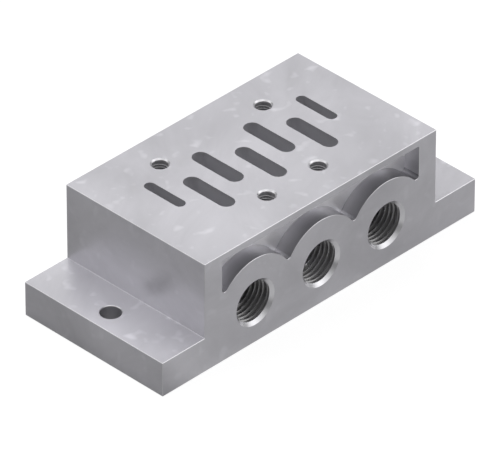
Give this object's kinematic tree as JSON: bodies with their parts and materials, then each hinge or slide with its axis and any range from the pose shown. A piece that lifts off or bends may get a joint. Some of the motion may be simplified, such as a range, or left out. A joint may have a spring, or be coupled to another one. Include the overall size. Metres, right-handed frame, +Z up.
{
  "type": "pneumatic valve subbase",
  "caption": "One-piece flanged subbase with a slotted valve seat on top and threaded air ports in its front and back faces.",
  "frame": {"origin": "middle of the underside", "axes": "+X along the length over both flanges, +Z up towards the valve seat, -Y towards the three front ports"},
  "size_m": [0.11, 0.048, 0.032],
  "materials": {
    "aluminium": "satin, machined and tumbled"
  },
  "bodies": {
    "root": {"subbase_body": "aluminium"}
  },
  "joints": []
}
